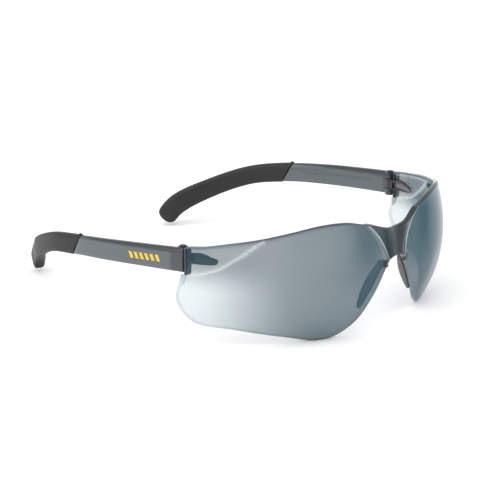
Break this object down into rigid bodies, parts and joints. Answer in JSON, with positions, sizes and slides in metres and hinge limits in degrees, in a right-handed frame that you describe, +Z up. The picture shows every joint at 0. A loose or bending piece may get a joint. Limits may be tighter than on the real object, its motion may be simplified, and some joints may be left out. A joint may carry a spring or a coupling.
{
  "type": "safety glasses",
  "caption": "Wraparound safety glasses with a one-piece smoke lens, an integral nose bridge and folding temples with soft black ear tips.",
  "frame": {"origin": "middle of the footprint, on the surface that the open glasses stand on", "axes": "the lens faces -Y, the temples run back to +Y, +X is the wearer's left, +Z up"},
  "size_m": [0.1398, 0.1614, 0.0483],
  "materials": {
    "smoke_lens": "polished, grey smoke tint",
    "dark_smoke": "moulded gloss, dark smoke",
    "smoke_arm": "moulded gloss, translucent grey smoke",
    "black_rubber": "soft satin",
    "pad_smoke": "satin, translucent grey"
  },
  "bodies": {
    "front": {"lens_shield": "smoke_lens", "hinge_block_left": "dark_smoke", "hinge_block_right": "dark_smoke", "hinge_pin_left": "dark_smoke", "hinge_pin_right": "dark_smoke", "nose_pad_left": "pad_smoke", "nose_pad_right": "pad_smoke"},
    "temple_left": {"temple_arm_left": "smoke_arm", "temple_tip_left": "black_rubber"},
    "temple_right": {"temple_arm_right": "smoke_arm", "temple_tip_right": "black_rubber"}
  },
  "joints": [
    {"name": "temple_fold_left", "type": "hinge", "parent": "front", "child": "temple_left", "pos_m": [0.066, -0.02654, 0.0335], "axis": [0, 0, 1], "range_deg": [0, 90]},
    {"name": "temple_fold_right", "type": "hinge", "parent": "front", "child": "temple_right", "pos_m": [-0.066, -0.02654, 0.0335], "axis": [0, 0, -1], "range_deg": [0, 80]}
  ]
}
